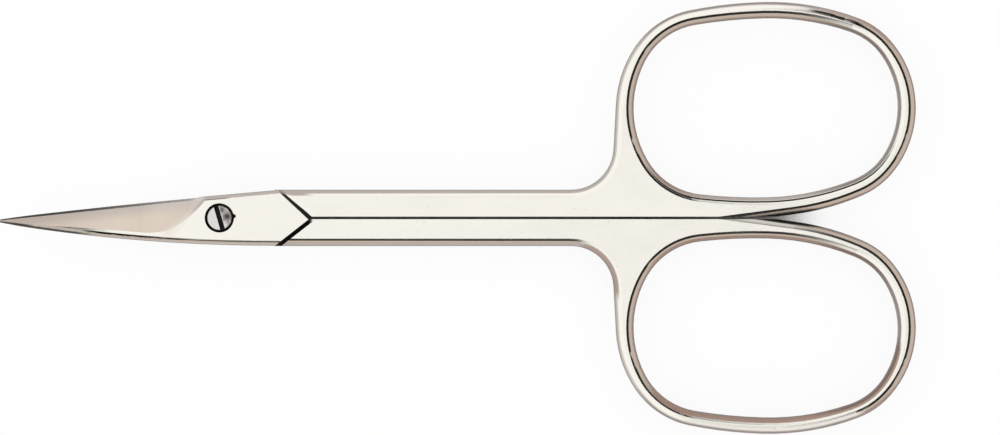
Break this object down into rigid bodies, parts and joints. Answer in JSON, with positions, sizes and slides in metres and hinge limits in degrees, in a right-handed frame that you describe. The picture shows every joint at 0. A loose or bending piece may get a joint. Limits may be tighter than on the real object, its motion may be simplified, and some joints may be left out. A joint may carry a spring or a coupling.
{
  "type": "cuticle scissors",
  "caption": "Slender cuticle scissors with curved hollow-ground blades, a lapped joint on a slotted pivot screw, straight shanks and oval finger rings.",
  "frame": {"origin": "on the pivot axis, in the flat back face of the joint, which is the face that rests", "axes": "+X from the pivot to the finger rings, with the tips towards -X; +Y to the front half's ring; +Z along the pivot axis to the screw head"},
  "size_m": [0.0899, 0.0424, 0.0043],
  "materials": {
    "front_steel": "polished warm nickel plate, finely ground blade",
    "rear_steel": "polished warm nickel plate, finely ground blade",
    "screw_steel": "turned and polished"
  },
  "bodies": {
    "rear": {"rear_half": "rear_steel", "pivot_screw": "screw_steel"},
    "front": {"front_half": "front_steel"}
  },
  "joints": [
    {"name": "pivot", "type": "hinge", "parent": "rear", "child": "front", "pos_m": [0, 0, 0], "axis": [0, 0, 1], "range_deg": [0, 130]}
  ]
}
